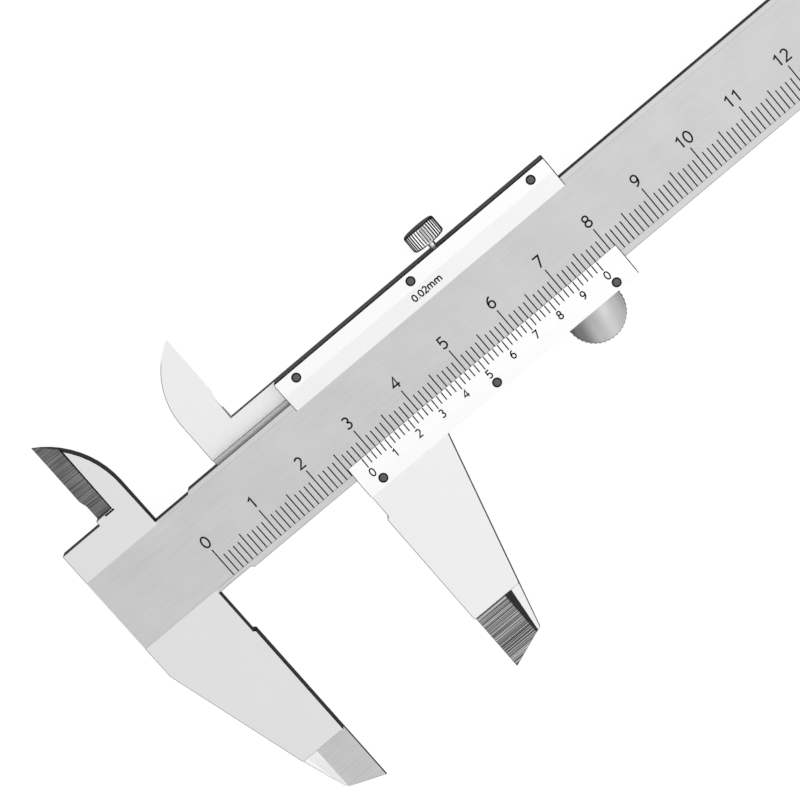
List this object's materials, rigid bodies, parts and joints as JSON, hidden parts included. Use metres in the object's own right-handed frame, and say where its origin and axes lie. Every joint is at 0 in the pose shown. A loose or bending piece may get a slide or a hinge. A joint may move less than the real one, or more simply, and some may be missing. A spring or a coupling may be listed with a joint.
{
  "type": "vernier caliper",
  "caption": "Metric vernier caliper with outside and inside jaws, a sliding vernier, a lock screw, a thumb roller and a depth rod.",
  "frame": {"origin": "on the fixed outside jaw's measuring face, 20 mm below the beam's lower edge and halfway through the jaw's thickness", "axes": "+X along the beam, the way the jaws open; +Y towards the inside jaws; +Z out of the scale face, the instrument lying on its back"},
  "size_m": [0.2569, 0.0786, 0.0059],
  "materials": {
    "ground_steel": "ground along the beam, satin",
    "satin_steel": "fine satin",
    "satin_chrome": "satin chrome plating",
    "polished_chrome": "polished, knurled rim",
    "dark_steel": "blued",
    "spring_steel": "rolled spring steel",
    "bronze": "plain phosphor bronze"
  },
  "bodies": {
    "beam_body": {"beam": "ground_steel", "end_stop_plate": "satin_steel", "end_stop_screws": "dark_steel"},
    "slider_body": {"slider_frame": "satin_steel", "upper_plate": "satin_chrome", "vernier_plate": "satin_chrome", "upper_plate_rivets": "dark_steel", "vernier_plate_rivets": "dark_steel", "gib_pins": "dark_steel", "roller_washer": "spring_steel", "roller_axle": "dark_steel", "roller_arm": "spring_steel", "roller_arm_screws": "dark_steel", "depth_rod": "ground_steel", "depth_rod_clamp": "satin_steel", "depth_rod_rivets": "dark_steel"},
    "gib_body": {"gib_strip": "bronze"},
    "lock_body": {"lock_screw": "polished_chrome"},
    "roller_body": {"thumb_roller": "polished_chrome", "roller_bush": "bronze"}
  },
  "joints": [
    {"name": "slider_slide", "type": "slide", "parent": "beam_body", "child": "slider_body", "axis": [1, 0, 0], "range_m": [-0.028, 0.122]},
    {"name": "roller_spin", "type": "hinge", "parent": "slider_body", "child": "roller_body", "pos_m": [0.07507, 0.016, 0], "axis": [0, 0, 1], "range_deg": [-312, 1358]},
    {"name": "gib_slide", "type": "slide", "parent": "slider_body", "child": "gib_body", "axis": [0, 1, 0], "range_m": [-0.00004, 0.00013]},
    {"name": "lock_turn", "type": "hinge", "parent": "gib_body", "child": "lock_body", "pos_m": [0.06217, 0.04, -0.00045], "axis": [0, 1, 0], "range_deg": [-29, 94]}
  ],
  "couplings": [
    {"joint": "roller_spin", "follows": "slider_slide", "rad_per_m": 194.17},
    {"joint": "lock_turn", "follows": "gib_slide", "rad_per_m": 12566}
  ]
}
